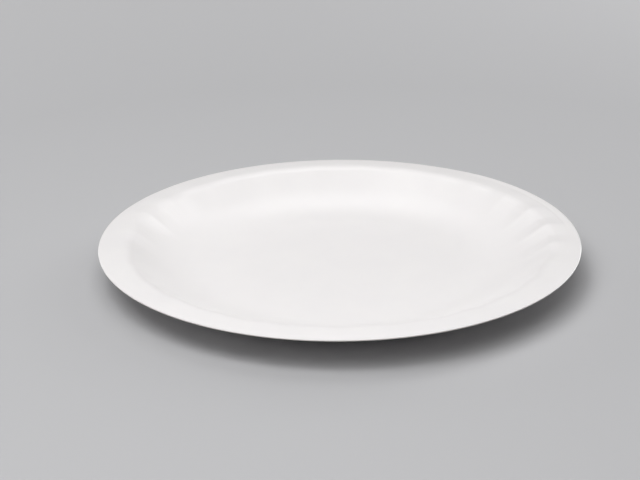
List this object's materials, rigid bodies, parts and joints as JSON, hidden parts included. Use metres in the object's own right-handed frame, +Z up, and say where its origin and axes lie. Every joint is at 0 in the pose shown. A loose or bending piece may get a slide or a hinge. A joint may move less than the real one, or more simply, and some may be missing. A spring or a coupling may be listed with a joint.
{
  "type": "paper plate",
  "caption": "Round white paper plate, pressed from one sheet, with a flat floor, a fluted sloping wall and a narrow brim that turns down at its edge.",
  "frame": {"origin": "middle of the underside of the flat floor, where the plate stands on a table", "axes": "+Z up through the middle of the plate, its axis of symmetry; +X to the right and +Y away from the viewer in the reference view; a flute's channel is centred on +X"},
  "size_m": [0.229, 0.229, 0.0166],
  "materials": {
    "white_board": "satin"
  },
  "bodies": {
    "root": {"plate": "white_board"}
  },
  "joints": []
}
